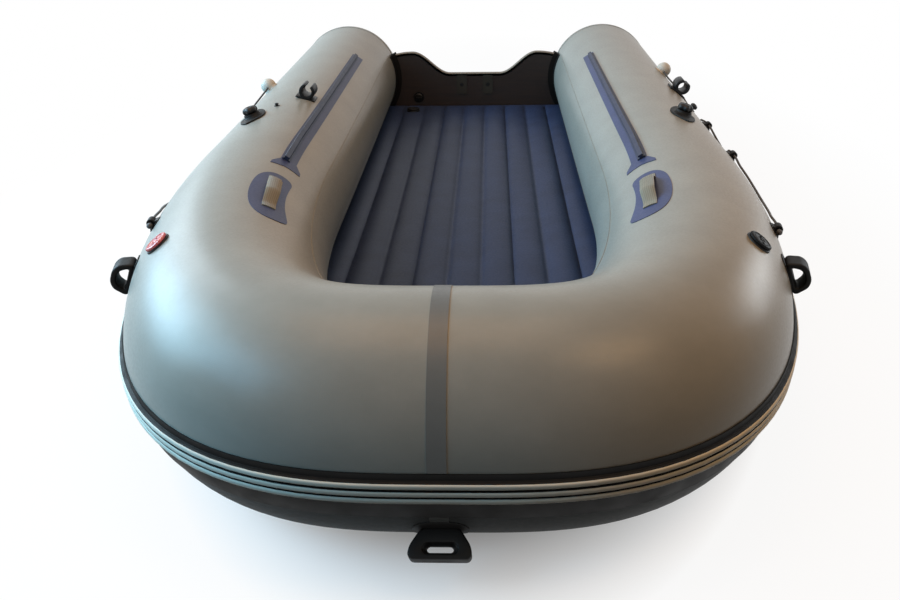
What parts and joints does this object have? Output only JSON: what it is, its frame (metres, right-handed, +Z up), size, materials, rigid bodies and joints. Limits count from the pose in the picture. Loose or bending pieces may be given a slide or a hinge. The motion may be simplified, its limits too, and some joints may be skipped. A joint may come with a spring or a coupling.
{
  "type": "inflatable boat",
  "caption": "Small inflatable boat with a U-shaped air tube, a channelled air floor, a low wooden transom for a motor, lifelines, carrying handles, rowlocks and air valves.",
  "frame": {"origin": "on the ground under the middle of the boat's box", "axes": "+Y aft to the transom, +X to port, +Z up; the bow faces -Y"},
  "size_m": [1.5488, 3.1995, 0.4562],
  "materials": {
    "grey_fabric": "satin PVC-coated fabric",
    "blue_fabric": "satin PVC-coated fabric",
    "floor_fabric": "matt PVC-coated fabric",
    "dark_tape": "satin PVC tape",
    "black_rubber": "moulded, satin",
    "pale_rubber": "extruded, satin",
    "black_plastic": "moulded, satin",
    "red_plastic": "moulded, glossy",
    "pale_plastic": "moulded, satin",
    "dark_wood": "plywood, dark varnish",
    "trim_plastic": "moulded, satin",
    "grey_webbing": "woven webbing",
    "black_rope": "braided rope",
    "steel": "stainless, bright"
  },
  "bodies": {
    "hull": {"bow_bulkhead": "grey_fabric", "bow_handle": "black_rubber", "bow_seam_tape": "dark_tape", "drain_body": "black_plastic", "floor_bottom_skin": "dark_tape", "floor_edge_tape": "dark_tape", "floor_top_skin": "floor_fabric", "floor_valve_body": "black_plastic", "floor_webs": "grey_fabric", "motor_plate": "black_plastic", "port_cone": "grey_fabric", "port_eyelet_1": "black_rubber", "port_eyelet_2": "black_rubber", "port_eyelet_3": "black_rubber", "port_grab_patch": "blue_fabric", "port_grab_strap": "grey_webbing", "port_handle": "black_rubber", "port_lifeline": "black_rope", "port_line_boss": "pale_plastic", "port_motor_bolt": "steel", "port_motor_pad": "trim_plastic", "port_oar_clip": "black_plastic", "port_rail_patch": "blue_fabric", "port_rowlock_base": "black_rubber", "port_seat_rail": "black_plastic", "port_transom_holder": "black_rubber", "port_tube": "grey_fabric", "port_valve_body": "black_plastic", "starboard_cone": "grey_fabric", "starboard_eyelet_1": "black_rubber", "starboard_eyelet_2": "black_rubber", "starboard_eyelet_3": "black_rubber", "starboard_grab_patch": "blue_fabric", "starboard_grab_strap": "grey_webbing", "starboard_handle": "black_rubber", "starboard_lifeline": "black_rope", "starboard_line_boss": "pale_plastic", "starboard_motor_bolt": "steel", "starboard_motor_pad": "trim_plastic", "starboard_oar_clip": "black_plastic", "starboard_rail_patch": "blue_fabric", "starboard_rowlock_base": "black_rubber", "starboard_seat_rail": "black_plastic", "starboard_transom_holder": "black_rubber", "starboard_tube": "grey_fabric", "starboard_valve_body": "black_plastic", "strake_base": "black_rubber", "strake_bumper": "pale_rubber", "transom_board": "dark_wood", "transom_edge_trim": "trim_plastic", "transom_sill": "black_rubber"},
    "port_valve_cap": {"port_valve_cap": "black_plastic"},
    "starboard_valve_cap": {"starboard_valve_cap": "red_plastic"},
    "floor_valve_cap": {"floor_valve_cap": "black_plastic"},
    "port_valve_stem": {"port_valve_stem": "black_plastic"},
    "starboard_valve_stem": {"starboard_valve_stem": "black_plastic"},
    "floor_valve_stem": {"floor_valve_stem": "black_plastic"},
    "port_rowlock_swivel": {"port_rowlock_swivel": "black_plastic"},
    "starboard_rowlock_swivel": {"starboard_rowlock_swivel": "black_plastic"},
    "drain_plug": {"drain_plug": "black_plastic"}
  },
  "joints": [
    {"name": "port_valve_cap_turn", "type": "hinge", "parent": "hull", "child": "port_valve_cap", "pos_m": [0.5953, -1.04103, 0.38878], "axis": [0.5755, -0.122, 0.8086], "range_deg": [0, 90]},
    {"name": "starboard_valve_cap_turn", "type": "hinge", "parent": "hull", "child": "starboard_valve_cap", "pos_m": [-0.5953, -1.04103, 0.38878], "axis": [-0.5755, -0.122, 0.8086], "range_deg": [0, 90]},
    {"name": "floor_valve_cap_turn", "type": "hinge", "parent": "hull", "child": "floor_valve_cap", "pos_m": [-0.264, 1.08968, 0.098], "axis": [0, 0, 1], "range_deg": [0, 90]},
    {"name": "port_valve_stem_press", "type": "slide", "parent": "hull", "child": "port_valve_stem", "axis": [-0.5755, 0.122, -0.8086], "range_m": [0, 0.005], "stiffness_N_per_m": 300, "springref_m": -0.003},
    {"name": "starboard_valve_stem_press", "type": "slide", "parent": "hull", "child": "starboard_valve_stem", "axis": [0.5755, 0.122, -0.8086], "range_m": [0, 0.005], "stiffness_N_per_m": 300, "springref_m": -0.003},
    {"name": "floor_valve_stem_press", "type": "slide", "parent": "hull", "child": "floor_valve_stem", "axis": [0, 0, -1], "range_m": [0, 0.005], "stiffness_N_per_m": 300, "springref_m": -0.003},
    {"name": "port_rowlock_swivel_turn", "type": "hinge", "parent": "hull", "child": "port_rowlock_swivel", "pos_m": [0.61909, -0.15456, 0.40609], "axis": [0.309, 0.007, 0.951], "continuous": true},
    {"name": "starboard_rowlock_swivel_turn", "type": "hinge", "parent": "hull", "child": "starboard_rowlock_swivel", "pos_m": [-0.61909, -0.15456, 0.40609], "axis": [-0.309, 0.007, 0.951], "continuous": true},
    {"name": "drain_plug_turn", "type": "hinge", "parent": "hull", "child": "drain_plug", "pos_m": [-0.25, 1.23468, 0.12], "axis": [0, -1, 0], "range_deg": [0, 90]}
  ]
}
